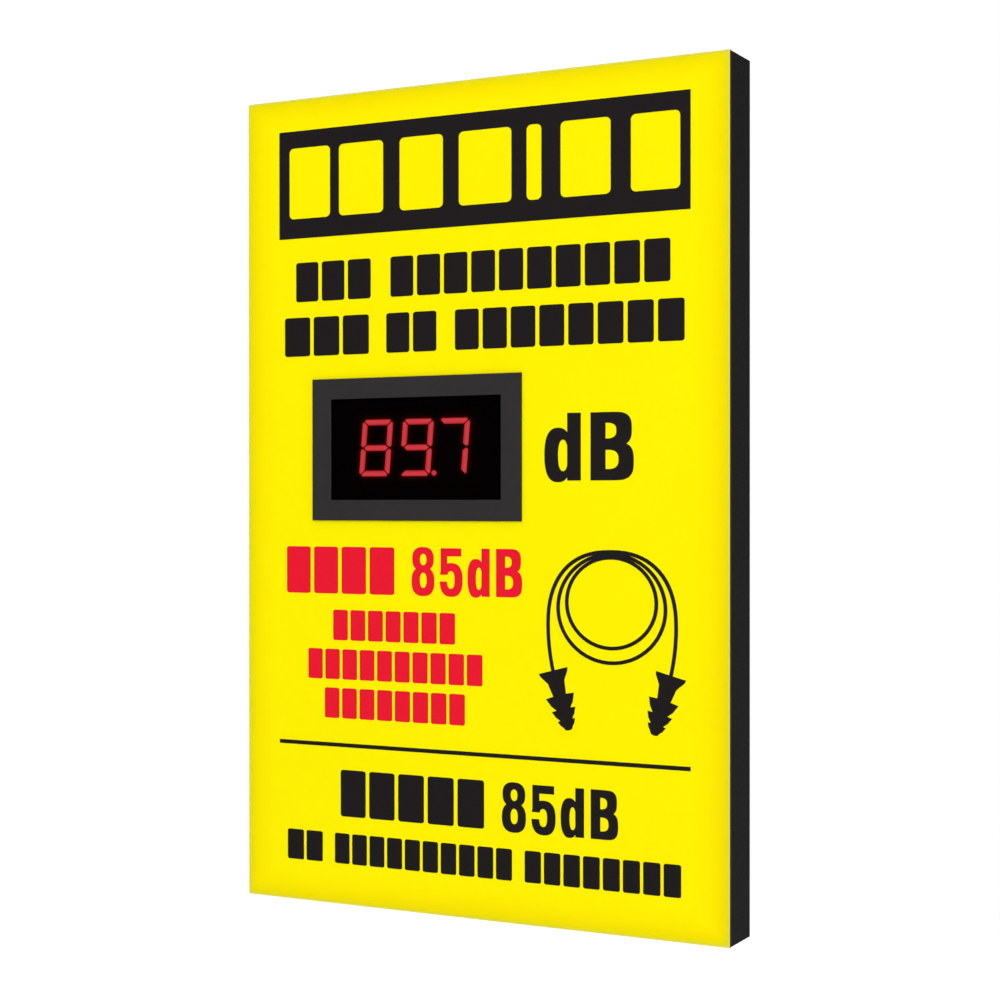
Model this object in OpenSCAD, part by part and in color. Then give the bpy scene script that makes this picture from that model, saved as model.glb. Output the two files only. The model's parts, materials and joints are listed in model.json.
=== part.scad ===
// Wall-mounted digital sound level meter sign: a shallow black box frame with a printed yellow face,
// a panel meter set into the face, and the electronics inside.
// Frame of reference: origin at the centre of the wall face, X to the right seen from the front,
// Y into the wall (the face looks along -Y), Z up. All sizes are millimetres.
// Holes and recesses are cut with bodies that run a little past the open surface.

/* [Sign box] */
// Width of the face
sign_w = 304.8; // [296:0.2:330]
// Height of the face
sign_h = 508; // [500:1:560]
// Depth from the wall face to the front of the printed film
sign_d = 40; // [38:0.5:46]
// Thickness of the printed face film
film_t = 0.3; // [0.2:0.05:0.5]
// Thickness of the face panel behind the film
panel_t = 3; // [2:0.5:4]
// Thickness of the tape between panel and frame
tape_t = 0.5; // [0.3:0.1:1]
// Wall thickness of the channel frame
frame_t = 1.5; // [1.2:0.1:2]
// Width of the channel's two flanges
flange_w = 12; // [10:0.5:14]
// Thickness of the back panel
back_t = 2; // [1.8:0.1:2.5]
// Thickness of the applied graphics
ink_t = 0.1; // [0.05:0.05:0.2]

/* [Wall mounting] */
// Distance between the two keyholes
keyhole_pitch = 203.2; // [180:0.1:220]
// Height of the keyhole entries above the centre
keyhole_z = 212; // [190:1:216]
// Radius of a keyhole's round entry
keyhole_r = 5; // [4.5:0.1:6]
// Width of a keyhole's slot
keyhole_slot = 5; // [4:0.1:6]
// Rise from the entry to the end of the slot
keyhole_rise = 10; // [8:0.5:12]

/* [Panel meter] */
// Centre of the meter across the face
meter_x = -38.1; // [-50:0.1:-30]
// Centre of the meter above the face's centre
meter_z = 31.25; // [20:0.05:40]
// Width of the bezel
bezel_w = 137.2; // [134:0.1:142]
// Height of the bezel
bezel_h = 88.9; // [86:0.1:94]
// How far the bezel stands in front of the film
bezel_proud = 1.5; // [1.2:0.1:2.5]
// Width of the window opening
window_w = 111.5; // [108:0.1:114]
// Height of the window opening
window_h = 63.2; // [60:0.1:66]
// Height of a digit
digit_h = 35.2; // [30:0.1:38]
// Width of a digit
digit_w = 20.3; // [16:0.1:21]
// Thickness of a segment
segment_t = 3.5; // [2.5:0.1:4]
// Lean of the digits in degrees
digit_lean = 4.3; // [0:0.1:8]

/* [Controls] */
// Radius of the rocker's pivot pin
pin_r = 1; // [0.8:0.05:1.2]
// Radial clearance between the pivot pin and the rocker
pin_clear = 0.05; // [0.03:0.01:0.08]
// Tilt of the rocker from its middle position, in degrees
rocker_tilt = 8; // [6:0.5:9]
// Radius of a set button's cap
button_r = 3; // [2.5:0.1:3.5]
// Radius of the trimmer's rotor
rotor_r = 2; // [1.6:0.1:2.2]

/* [Hidden] */
$fn = 48;

// Colours shared by several pieces
ink_black = [0.14, 0.12, 0.125];
frame_black = [0.13, 0.13, 0.13];
chip_black = [0.06, 0.06, 0.07];
switch_black = [0.08, 0.08, 0.08];
cap_grey = [0.3, 0.3, 0.32];
bright_steel = [0.75, 0.76, 0.78];
zinc = [0.72, 0.73, 0.75];
contact_metal = [0.8, 0.78, 0.7];
board_green = [0.05, 0.32, 0.16];

// Layers of the box, from front to wall
half_w = sign_w / 2;
half_h = sign_h / 2;
y_face = -sign_d;                      // front of the film
y_ink = y_face - ink_t;                // front of the graphics
y_panel = y_face + film_t;             // front of the panel
y_tape = y_panel + panel_t;            // front of the tape
y_frame = y_tape + tape_t;             // front of the channel frame
y_back = -back_t;                      // inner face of the back panel
y_rear_flange = y_back - frame_t;      // front of the rear flange
y_mid = -19;                           // depth of everything in the lower edge
web_z = -half_h;                       // outer face of the lower edge
web_in = web_z + frame_t;              // its inner face

// Circuit boards
board_t = 1.6;
board_hole_r = 1.6;
thread_hole_r = 1.3;                   // bore of the standoffs and posts
y_pcb = -9.6;                          // main board's front, its component side
pcb_left = -92;
pcb_right = 62;
pcb_bottom = -226;
pcb_top = -156;
standoff_inset = 5;
standoff_foot_r = 2.05;
standoffs = [for (z = [pcb_bottom + standoff_inset, pcb_top - standoff_inset],
                  x = [pcb_left + standoff_inset, pcb_right - standoff_inset]) [x, z]];

// ---- helpers ----------------------------------------------------------------------------------

// A flat outline drawn in X and Z, thickened from front to rear
module slab(front, rear) {
  translate([0, rear, 0]) rotate([90, 0, 0]) linear_extrude(height = rear - front) children();
}
module box(left, right, front, rear, bottom, top) {
  translate([left, front, bottom]) cube([right - left, rear - front, top - bottom]);
}
// A box centred in X and Z
module block(x, z, width, height, front, rear) {
  box(x - width / 2, x + width / 2, front, rear, z - height / 2, z + height / 2);
}
// A box standing in the lower edge, centred in X and on y_mid
module upright(x, half_x, half_y, bottom, top) {
  box(x - half_x, x + half_x, y_mid - half_y, y_mid + half_y, bottom, top);
}
// Round bars along Y, tapered and plain
module y_taper(x, z, front, rear, front_r, rear_r) {
  translate([x, rear, z]) rotate([90, 0, 0]) cylinder(h = rear - front, r1 = rear_r, r2 = front_r);
}
module y_rod(x, z, front, rear, radius) {
  translate([x, rear, z]) rotate([90, 0, 0]) cylinder(h = rear - front, r = radius);
}
module z_rod(x, bottom, top, radius, y = y_mid) {
  translate([x, y, bottom]) cylinder(h = top - bottom, r = radius);
}
// A block with rounded corners, each drawn in the given number of steps
module rounded(left, bottom, right, top, radius, front, rear, steps = 3) {
  centres = [[right - radius, top - radius], [left + radius, top - radius],
             [left + radius, bottom + radius], [right - radius, bottom + radius]];
  slab(front, rear) polygon([for (k = [0:3], i = [0:steps])
    centres[k] + radius * [cos(90 * k + 90 * i / steps), sin(90 * k + 90 * i / steps)]]);
}
function reversed(points) = [for (i = [len(points) - 1:-1:0]) points[i]];
// Power of a value's size that keeps its sign
function signed_pow(value, exponent) = value < 0 ? -pow(-value, exponent) : pow(value, exponent);

// Bent wire of twelve-sided section: straight runs that run a little past each bend
module wire(points, radius) {
  for (i = [0:len(points) - 2]) {
    run = points[i + 1] - points[i];
    before = i == 0 ? 0 : 0.4 * radius;
    after = i == len(points) - 2 ? 0 : 0.4 * radius;
    translate(points[i]) rotate([0, acos(run[2] / norm(run)), atan2(run[1], run[0])])
      translate([0, 0, -before]) cylinder(h = norm(run) + before + after, r = radius, $fn = 12);
  }
}

// ---- printed face -----------------------------------------------------------------------------

print_w = 260.8;                       // width of the header band and the rule

module face_overlay() {
  color([0.99, 0.93, 0.02]) difference() {
    block(0, 0, sign_w, sign_h, y_face, y_panel);
    meter_cutout(y_face, y_panel);
  }
}

// Rows of plain blocks: left, right, number of blocks, bottom, top
black_large_rows = [
  [-118.6, -67.3, 3, 125.2, 150.1], [-54.1, 118.9, 10, 125.2, 150.1],
  [-126.5, -68.6, 3, 90.7, 115.3], [-56.9, -23.9, 2, 90.7, 115.3], [-11.9, 127, 8, 90.7, 115.3],
  [-87.9, 6.6, 5, -198.9, -169.7]
];
black_small_rows = [
  [-124.7, -100.3, 2, -228.6, -209.6], [-91.9, 24.1, 10, -228.6, -209.6],
  [32, 125, 8, -228.6, -209.6]
];
red_large_rows = [[-125.2, -51.6, 4, -59.2, -29.7]];
red_small_rows = [
  [-93, -11.9, 7, -88.4, -69.3], [-110.2, 5.6, 10, -113, -94], [-98.8, -5.6, 8, -137.4, -118.4]
];
module rows(table, gap, radius) {
  for (line = table) {
    width = (line[1] - line[0] - (line[2] - 1) * gap) / line[2];
    for (i = [0:line[2] - 1]) {
      left = line[0] + i * (width + gap);
      rounded(left, line[3], left + width, line[4], radius, y_ink, y_face);
    }
  }
}
module large_rows(table) { rows(table, gap = 2.4, radius = 1.6); }
module small_rows(table) { rows(table, gap = 1.8, radius = 1.2); }

// Seven open marks in the header band: left end and width of each
marks = [[-123.2, 28.2], [-88.9, 30], [-48, 28.4], [-9.4, 33.3], [33.3, 9.1], [54.1, 30], [96, 28.5]];
mark_bottom = 178.1;
mark_top = 223;
module header_print() {
  color(ink_black) difference() {
    block(0, 199.75, print_w, 68.3, y_ink, y_face);
    for (m = marks)
      rounded(m[0], mark_bottom, m[0] + m[1], mark_top, 3, y_ink - 1, y_face + 1, steps = 6);
  }
}

// Numerals and the unit mark are drawn in a cell: left, bottom, width, height. Each stroke fills a
// share of its cell: left, bottom, right, top as fractions. Round strokes run a little past it.
function edges(cell, share) =
  [for (i = [0:3]) cell[i % 2] + share[i] * cell[2 + i % 2]];
// An oval that fills its edges; the higher the squareness, the squarer it is
oval_steps = 36;
function oval(edge, squareness) = [for (i = [0:oval_steps - 1]) let (angle = i * 360 / oval_steps) [
  (edge[0] + edge[2]) / 2 + (edge[2] - edge[0]) / 2 * signed_pow(cos(angle), 2 / squareness),
  (edge[1] + edge[3]) / 2 + (edge[3] - edge[1]) / 2 * signed_pow(sin(angle), 2 / squareness)]];
module round_stroke(cell, share, squareness, past = 0) {
  slab(y_ink - past, y_face + past) polygon(oval(edges(cell, share), squareness));
}
module bar(cell, share, past = 0) {
  edge = edges(cell, share);
  box(edge[0], edge[2], y_ink - past, y_face + past, edge[1], edge[3]);
}
module numeral_8(cell) {
  difference() {
    union() {
      round_stroke(cell, [0.03, 0.515, 0.97, 1.02], 2.5);
      round_stroke(cell, [0, -0.02, 1, 0.6], 2.5);
    }
    round_stroke(cell, [0.37, 0.635, 0.65, 0.875], 2.2, past = 1);
    round_stroke(cell, [0.365, 0.155, 0.66, 0.475], 2.3, past = 1);
  }
}
module numeral_5(cell) {
  difference() {
    union() {
      round_stroke(cell, [0, -0.02, 1, 0.69], 2.5);
      bar(cell, [0.04, 0.44, 0.33, 1]);
      bar(cell, [0.04, 0.83, 0.94, 1]);
    }
    round_stroke(cell, [0.32, 0.15, 0.65, 0.52], 2.4, past = 1);
    bar(cell, [-0.1, 0.3, 0.35, 0.44], past = 1);
  }
}
module unit_d(cell) {
  union() {
    difference() {
      round_stroke(cell, [0, -0.024, 0.75, 0.785], 2.5);
      round_stroke(cell, [0.377, 0.14, 0.65, 0.605], 2.3, past = 1);
    }
    bar(cell, [0.628, 0, 1, 1]);
  }
}
module unit_b(cell) {
  union() {
    difference() {
      union() {
        bar(cell, [0.1, 0, 0.53, 1]);
        round_stroke(cell, [0.1, 0.5, 0.955, 1], 3);
        round_stroke(cell, [0.1, 0, 1, 0.56], 3);
      }
      round_stroke(cell, [0.1, 0.612, 0.6, 0.843], 2.8, past = 1);
      round_stroke(cell, [0.1, 0.165, 0.65, 0.447], 2.8, past = 1);
    }
    bar(cell, [0, 0, 0.35, 1]);
  }
}
// The threshold value: two numerals and the unit mark, from their lower left corner
threshold_h = 29;
module threshold(x, z) {
  numeral_8([x, z, 15, threshold_h]);
  numeral_5([x + 18.4, z, 14.8, threshold_h]);
  unit_d([x + 36.3, z, 14.1, threshold_h]);
  unit_b([x + 54.4, z, 16.3, threshold_h]);
}

// Corded ear plugs: two loops, a cord that runs over them, and a stepped plug at each end
loop_x = 84.3;
cord_w = 2.2;
cord_foot_x = 34.7;                    // half distance between the cord's ends
cord_foot_z = -102.2;
foot_bulge = 3.15;                     // how far each foot swings outwards
foot_rise = 28.2;
arch_rise = 43.3;
arch_squareness = 2.33;
plug_x = 34.9;
plug_z = -101.4;
plug_splay = 15.8;

// Half outline of a plug that hangs down from its flange: a bell, then three skirts that get
// smaller. Points are distance from the axis and height.
function skirt(z, radius, drop) =
  [[radius, z], [0.78 * radius, z - 0.6 * drop], [0.5 * radius, z - drop]];
plug_half = concat([[9, 0], [8.6, -1.8], [5.2, -7], [4, -15]],
  skirt(-15.4, 8.8, 8), skirt(-23.6, 7.4, 6.2), skirt(-30, 5.4, 4.4), [[2.2, -35.6], [0.9, -36.2]]);
function mirrored(points) = [for (p = points) [-p[0], p[1]]];
module ear_plug(side) {
  slab(y_ink, y_face) translate([loop_x + side * plug_x, plug_z]) rotate(-side * plug_splay)
    polygon(concat(plug_half, mirrored(reversed(plug_half))));
}
module ring(z, radius) {
  difference() {
    y_rod(loop_x, z, y_ink, y_face, radius + cord_w / 2);
    y_rod(loop_x, z, y_ink - 1, y_face + 1, radius - cord_w / 2);
  }
}
// The long cord from the left plug over the top to the right plug, at an outward offset
function right_foot(offset) = [for (i = [0:7]) [
  cord_foot_x + offset + foot_bulge * (1 - pow(1 - i / 7, 2)), cord_foot_z + foot_rise * i / 7]];
function arch(offset) = [for (i = [1:35]) [
  -(cord_foot_x + foot_bulge + offset) * signed_pow(cos(i * 5), 2 / arch_squareness),
  cord_foot_z + foot_rise + (arch_rise + offset) * signed_pow(sin(i * 5), 2 / arch_squareness)]];
function cord_line(offset) =
  concat(mirrored(right_foot(offset)), arch(offset), reversed(right_foot(offset)));
module long_cord() {
  slab(y_ink, y_face) translate([loop_x, 0])
    polygon(concat(cord_line(cord_w / 2), reversed(cord_line(-cord_w / 2))));
}

module black_print() {
  color(ink_black) {
    large_rows(black_large_rows);
    small_rows(black_small_rows);
    unit_d([44.2, 11, 22.1, 39.9]);
    unit_b([72.1, 11, 25.6, 39.9]);
    union() {
      ring(-60.6, 26.5);
      ring(-63.9, 31.75);
      long_cord();
      ear_plug(-1);
      ear_plug(1);
    }
    block(0, -154.2, print_w, 2.5, y_ink, y_face);
    threshold(17.8, -199);
  }
}
module red_print() {
  color([0.93, 0.11, 0.14]) {
    large_rows(red_large_rows);
    small_rows(red_small_rows);
    threshold(-40.2, -58.8);
  }
}

// ---- box --------------------------------------------------------------------------------------

screw_inset = 6.9;                     // from the sign's edge to the back panel screws
back_screws = concat(
  [for (x = [-75, 75], side = [-1, 1]) [x, side * (half_h - screw_inset)]],
  [for (side = [-1, 1], z = [-165, 0, 165]) [side * (half_w - screw_inset), z]]);
hangers = [for (side = [-1, 1]) [side * keyhole_pitch / 2, keyhole_z + 5]];
rivet_x = 16;                          // from a hanger plate's centre to its rivets
rivet_hole_r = 1.55;

module face_panel() {
  color([0.1, 0.1, 0.1]) difference() {
    block(0, 0, sign_w, sign_h, y_panel, y_tape);
    meter_cutout(y_panel, y_tape);
  }
}
tape_inset = 1;
tape_w = 10;
module panel_tape() {
  outer = 2 * tape_inset;
  inner = 2 * (tape_inset + tape_w);
  color([0.25, 0.25, 0.25]) difference() {
    block(0, 0, sign_w - outer, sign_h - outer, y_tape, y_frame);
    block(0, 0, sign_w - inner, sign_h - inner, y_tape - 1, y_frame + 1);
  }
}

// A channel along the upper edge: reach is half its length, z its outer face
mitre_gap = 0.05;
module strip(reach, z, depth, front, rear) {
  end = reach - mitre_gap;
  slab(front, rear)
    polygon([[-end, z], [end, z], [end - depth, z - depth], [-end + depth, z - depth]]);
}
module channel(reach, z) {
  strip(reach, z, frame_t, y_frame, 0);
  strip(reach, z, flange_w, y_frame, y_frame + frame_t);
  strip(reach, z, flange_w, y_rear_flange, y_back);
}
module nut_holes() {
  for (p = back_screws) y_rod(p[0], p[1], y_rear_flange - 1, y_back + 0.5, 2.6);
}
module web_hole(x, radius) { z_rod(x, web_z - 1, web_in + 1, radius); }

module frame_top() {
  color(frame_black) difference() {
    channel(half_w, half_h);
    nut_holes();
  }
}
module frame_bottom() {
  color(frame_black) difference() {
    mirror([0, 0, 1]) channel(half_w, half_h);
    nut_holes();
    web_hole(jack_x, jack_r + 0.1);
    upright(rocker_x, switch_half_x + 0.1, switch_half_y + 0.1, web_z - 1, web_in + 1);
    web_hole(down_x, button_r + 0.15);
    web_hole(up_x, button_r + 0.15);
    web_hole(control_x, 2.5);
    web_hole(mic_x, 6.5);
  }
}
module frame_left() {
  color(frame_black) difference() {
    rotate([0, -90, 0]) channel(half_h, half_w);
    nut_holes();
  }
}
module frame_right() {
  color(frame_black) difference() {
    rotate([0, 90, 0]) channel(half_h, half_w);
    nut_holes();
  }
}

// Angle pieces inside the corners, drawn at the upper right
key_l = 32;
key_t = 2.5;
key_gap = 0.1;
key_x = half_w - frame_t - key_gap;
key_z = half_h - frame_t - key_gap;
key_screw = 20;                        // from the key's corner to each screw
key_hole_r = 2.05;
module each_corner() {
  for (flip_x = [0, 1], flip_z = [0, 1]) mirror([flip_x, 0, 0]) mirror([0, 0, flip_z]) children();
}
module corner_keys() {
  color(bright_steel) each_corner() difference() {
    box(key_x - key_l, key_x, y_frame + frame_t + key_gap, y_rear_flange - key_gap,
        key_z - key_l, key_z);
    box(key_x - key_l - 1, key_x - key_t, y_frame, 0, key_z - key_l - 1, key_z - key_t);
    z_rod(key_x - key_screw, key_z - key_t - 1, key_z + 1, key_hole_r);
    translate([key_x + 1, y_mid, key_z - key_screw]) rotate([0, -90, 0])
      cylinder(h = key_t + 2, r = key_hole_r);
  }
}
module grub() {
  difference() {
    cylinder(h = 4.5, r = 2);
    translate([0, 0, 2.6]) cylinder(h = 3, r = 1.15, $fn = 6);
  }
}
module corner_key_screws() {
  color([0.3, 0.3, 0.32]) each_corner() {
    translate([key_x - key_screw, y_mid, half_h - frame_t]) rotate([180, 0, 0]) grub();
    translate([half_w - frame_t, y_mid, key_z - key_screw]) rotate([0, -90, 0]) grub();
  }
}

module keyhole(x, front, rear) {
  y_rod(x, keyhole_z, front, rear, keyhole_r);
  block(x, keyhole_z + keyhole_rise / 2, keyhole_slot, keyhole_rise, front, rear);
  y_rod(x, keyhole_z + keyhole_rise, front, rear, keyhole_slot / 2);
}
// Six slots with round ends, one above another
vent_l = 46;
vent_w = 4;
module vents(x) {
  for (i = [0:5]) union() {
    z = -120 + i * 9;
    block(x, z, vent_l, vent_w, y_back - 1, 1);
    for (side = [-1, 1]) y_rod(x + side * vent_l / 2, z, y_back - 1, 1, vent_w / 2);
  }
}
module back_panel() {
  inset = 2 * frame_t + 0.6;
  color([0.18, 0.18, 0.18]) difference() {
    block(0, 0, sign_w - inset, sign_h - inset, y_back, 0);
    for (side = [-1, 1]) keyhole(side * keyhole_pitch / 2, y_back - 1, 1);
    vents(-70);
    vents(70);
    for (p = back_screws) {
      y_rod(p[0], p[1], y_back - 1, 0.5, 1.65);
      y_taper(p[0], p[1], -1.4, 0, 1.65, 3.05);
    }
    for (p = hangers, side = [-1, 1]) {
      y_rod(p[0] + side * rivet_x, p[1], y_back - 1, 0.5, rivet_hole_r);
      y_taper(p[0] + side * rivet_x, p[1], -1, 0, rivet_hole_r, 2.55);
    }
    for (p = standoffs) y_rod(p[0], p[1], y_back - 1, 0.5, standoff_foot_r + 0.05);
  }
}
// Countersunk screws with a cross recess
module back_panel_screws() {
  shank_r = 1.45;
  color([0.25, 0.25, 0.26]) for (p = back_screws) difference() {
    union() {
      y_taper(p[0], p[1], -1.45, -0.05, shank_r, 2.85);
      y_rod(p[0], p[1], -8, -1.4, shank_r);
    }
    block(p[0], p[1], 3, 0.8, -0.9, 1);
    block(p[0], p[1], 0.8, 3, -0.9, 1);
  }
}
module clinch_nuts() {
  color(zinc) for (p = back_screws) difference() {
    union() {
      y_rod(p[0], p[1], y_rear_flange - 0.01, y_back - 0.05, 2.55);
      y_rod(p[0], p[1], y_rear_flange - 2.5, y_rear_flange, 3.6);
    }
    y_rod(p[0], p[1], y_rear_flange - 3, y_back + 1, 1.5);
  }
}
plate_t = 1.5;
plate_half_w = 22;
plate_half_h = 17;
module hanger_plates() {
  color(zinc) for (p = hangers) difference() {
    rounded(p[0] - plate_half_w, p[1] - plate_half_h, p[0] + plate_half_w, p[1] + plate_half_h,
            3, y_back - plate_t, y_back);
    keyhole(p[0], y_back - 2, y_back + 1);
    for (side = [-1, 1]) y_rod(p[0] + side * rivet_x, p[1], y_back - 2, y_back + 1, rivet_hole_r);
  }
}
module hanger_rivets() {
  color(bright_steel) for (p = hangers, side = [-1, 1]) union() {
    x = p[0] + side * rivet_x;
    y_taper(x, p[1], -1, -0.05, 1.5, 2.45);
    y_rod(x, p[1], y_back - plate_t - 0.1, -0.9, 1.5);
    y_taper(x, p[1], y_back - plate_t - 1, y_back - plate_t, 2, 3);
  }
}

// ---- panel meter ------------------------------------------------------------------------------

// Sizes across the meter: width, height
skirt_size = [128, 80];
window_pocket = [118, 70];
board_pocket = [124, 76];
y_bezel = y_face - bezel_proud;
y_window = y_bezel + 0.8;              // front of the window
window_t = 2;
y_ledge = y_face + 10.3;               // ledge the display board rests on
y_skirt = y_face + 22;                 // rear end of the bezel's skirt
y_display_rear = y_ledge + board_t;    // rear face of the display board
tongue_front = y_face + 9.2;           // clamp tongues that reach into the skirt
tongue_rear = y_face + 10.8;

// A block centred on the meter, its size made larger by grow
module meter_block(size, front, rear, grow = 0) {
  block(meter_x, meter_z, size[0] + grow, size[1] + grow, front, rear);
}
// The opening for the meter in a sheet of the face
module meter_cutout(front, rear) { meter_block(skirt_size, front - 1, rear + 1, grow = 0.6); }

module meter_bezel() {
  color([0.2, 0.185, 0.19]) difference() {
    union() {
      meter_block([bezel_w, bezel_h], y_bezel, y_face);
      meter_block(skirt_size, y_face, y_skirt);
    }
    meter_block([window_w, window_h], y_bezel - 1, y_face);
    meter_block(window_pocket, y_window, y_ledge);
    meter_block(board_pocket, y_ledge, y_skirt + 1);
    for (side = [-1, 1])
      block(meter_x + side * 63, meter_z, 3, 6.4, tongue_front - 0.3, tongue_rear + 0.3);
  }
}
module display_window() {
  color([0.02, 0.01, 0.01, 0.85])
    meter_block(window_pocket, y_window, y_window + window_t, grow = -0.4);
}

// LED block
led_left = -79;
led_right = 4;
led_bottom = 9;
led_top = 56;
y_led = y_face + 2.3;                  // its front face
module led_block(front, clearance = 0) {
  box(led_left - clearance, led_right + clearance, front, y_ledge,
      led_bottom - clearance, led_top + clearance);
}
module display_mask() {
  mask_front = y_window + window_t;
  color([0.03, 0.03, 0.03]) difference() {
    meter_block(window_pocket, mask_front + 0.05, y_ledge - 0.05, grow = -0.6);
    meter_block(window_pocket, mask_front + 0.95, y_ledge + 1, grow = -3.6);
    led_block(y_window, clearance = 0.3);
  }
}
module display_module() { color([0.05, 0.05, 0.05]) led_block(y_led); }

led_pins = [for (i = [0:6], side = [-1, 1]) [-67.5 + i * 10, 32.5 + side * 19.05]];
module display_pins() {
  color([0.8, 0.8, 0.78]) for (p = led_pins) y_rod(p[0], p[1], y_ledge, y_ledge + 2.6, 0.3);
}

// Seven-segment digit: outline of each segment, from its lower left corner, before the lean
mitre = 0.5;                           // gap at the mitres
corner = 2.2;                          // cut at the outer corners
tip_in = corner / 2 + mitre / 2;       // from the digit's edges to the tips at a cut corner
tip_out = corner / 2 - mitre / 2;
inner_x = digit_w - segment_t;         // inner edge of the right-hand segments
mid_z = digit_h / 2;
top_bar = [
  [corner, digit_h], [digit_w - corner, digit_h], [digit_w - tip_in, digit_h - tip_out],
  [inner_x - mitre, digit_h - segment_t], [segment_t + mitre, digit_h - segment_t],
  [tip_in, digit_h - tip_out]
];
right_top = [
  [digit_w, digit_h - corner], [digit_w, mid_z + 0.3 * segment_t + mitre / 2],
  [digit_w - 0.35 * segment_t, mid_z + mitre], [inner_x, mid_z + segment_t / 2 + mitre],
  [inner_x, digit_h - segment_t - mitre], [digit_w - tip_out, digit_h - tip_in]
];
middle = [
  [0.45 * segment_t + mitre, mid_z], [segment_t + mitre, mid_z + segment_t / 2],
  [inner_x - mitre, mid_z + segment_t / 2], [digit_w - 0.45 * segment_t - mitre, mid_z],
  [inner_x - mitre, mid_z - segment_t / 2], [segment_t + mitre, mid_z - segment_t / 2]
];
function swap_sides(points) = [for (p = points) [digit_w - p[0], p[1]]];
function upside_down(points) = [for (p = points) [p[0], digit_h - p[1]]];
// Segments a to g
segments = [
  top_bar, right_top, upside_down(right_top), upside_down(top_bar),
  swap_sides(upside_down(right_top)), swap_sides(right_top), middle
];
// Which of the segments a to g are lit in each of the three digits
lit = [[1, 1, 1, 1, 1, 1, 1], [1, 1, 1, 1, 0, 1, 1], [1, 1, 1, 0, 0, 0, 0]];
lit_point = 1;                         // digit whose decimal point is lit
digits_x = [-64.75, -37.85, -14.45];   // centres of the digits
digits_z = 32;
segment_proud = 0.25;
point_dx = 11.4;                       // from a digit's centre to its decimal point
point_z = digits_z - mid_z + 1.8;      // decimal points; segments beside them give way
function lean(points, x) = [for (p = points)
  [x + p[0] - digit_w / 2 + (p[1] - mid_z) * tan(digit_lean), digits_z + p[1] - mid_z]];
module segment_set(state) {
  for (k = [0:2], s = [0:6]) if (lit[k][s] == state) difference() {
    slab(y_led - segment_proud, y_led) polygon(lean(segments[s], digits_x[k]));
    for (x = digits_x) y_rod(x + point_dx, point_z, y_led - 1, y_led + 1, 2);
  }
  for (k = [0:2]) if ((k == lit_point ? 1 : 0) == state)
    y_rod(digits_x[k] + point_dx, point_z, y_led - segment_proud, y_led, 1.7);
}
module lit_segments() { color([0.86, 0.15, 0.2]) segment_set(1); }
module unlit_segments() { color([0.1, 0.03, 0.03]) segment_set(0); }

module display_pcb() {
  color([0.05, 0.3, 0.15]) difference() {
    meter_block(board_pocket, y_ledge, y_display_rear, grow = -0.6);
    for (p = led_pins) y_rod(p[0], p[1], y_ledge - 1, y_display_rear + 1, 0.45);
  }
}
// Surface-mount chip with a row of leads above and below its body, on a board whose face is at
// y = board; dir is -1 for parts standing towards the front and 1 towards the wall
lead_w = 0.4;
lead_l = 1.2;
lead_t = 0.5;
lead_out = 0.5;                        // from the body's side to the lead's centre
module chip(x, z, width, height, thick, leads, pitch, board, dir) {
  near = board + dir * 0.1;
  far = near + dir * thick;
  foot = board + dir * lead_t;
  block(x, z, width, height, min(near, far), max(near, far));
  for (i = [0:leads - 1], side = [-1, 1])
    block(x + (i - (leads - 1) / 2) * pitch, z + side * (height / 2 + lead_out), lead_w, lead_l,
          min(board, foot), max(board, foot));
}
module display_driver() {
  color(chip_black) union()
    chip(-76, 44, 15.4, 7.5, thick = 2.3, leads = 12, pitch = 1.27, board = y_display_rear, dir = 1);
}
display_plug_z = 4;                    // height of the ribbon's upper plug
module meter_back_cover() {
  color([0.12, 0.12, 0.12]) difference() {
    meter_block(board_pocket, y_display_rear, y_skirt, grow = -0.4);
    meter_block(board_pocket, y_display_rear - 1, y_skirt - 2, grow = -4);
    block(meter_x, display_plug_z, 26, 13, y_skirt - 3, y_skirt + 1);
    for (i = [-4:4]) block(meter_x + i * 9, 48, 3, 22, y_skirt - 3, y_skirt + 1);
  }
}
// Angle clamps on both sides of the skirt, drawn at the right
clamp_screw_x = 71;
clamp_left = 64.1;
clamp_rear = y_face + 14;
module meter_clamps() {
  color([0.7, 0.71, 0.73]) for (flip = [0, 1])
    translate([meter_x, 0, meter_z]) mirror([flip, 0, 0]) difference() {
      union() {
        box(clamp_left, clamp_left + 1.5, y_face + 6, clamp_rear, -7, 7);
        box(clamp_left, 76, clamp_rear - 2.5, clamp_rear, -7, 7);
        box(62.3, clamp_left + 0.01, tongue_front, tongue_rear, -3, 3);
      }
      y_rod(clamp_screw_x, 0, y_face + 10, clamp_rear + 1, 1.55);
    }
}
module meter_clamp_screws() {
  color([0.55, 0.56, 0.58]) for (side = [-1, 1]) difference() {
    x = meter_x + side * clamp_screw_x;
    union() {
      y_rod(x, meter_z, y_tape, y_face + 18, 1.5);
      y_rod(x, meter_z, y_face + 17, y_face + 19.2, 2.9);
    }
    block(x, meter_z, 7, 0.8, y_face + 18.2, y_face + 20);
  }
}

// ---- places in the lower edge -----------------------------------------------------------------

jack_x = -100;
jack_r = 5.5;
rocker_x = -60;
switch_half_x = 9.5;
switch_half_y = 6.4;
pivot_z = web_z + 3;                   // rocker's pivot
mic_x = 90;
control_x = 8;                         // centre of the control board and its trimmer
control_z = web_in + 8.9;              // underside of the control board
down_x = control_x - 14;
up_x = control_x + 14;
control_posts = [control_x - 25, control_x + 25];

// ---- electronics ------------------------------------------------------------------------------

module main_pcb() {
  color(board_green) difference() {
    box(pcb_left, pcb_right, y_pcb, y_pcb + board_t, pcb_bottom, pcb_top);
    for (p = standoffs) y_rod(p[0], p[1], y_pcb - 1, y_pcb + 3, board_hole_r);
  }
}
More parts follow.
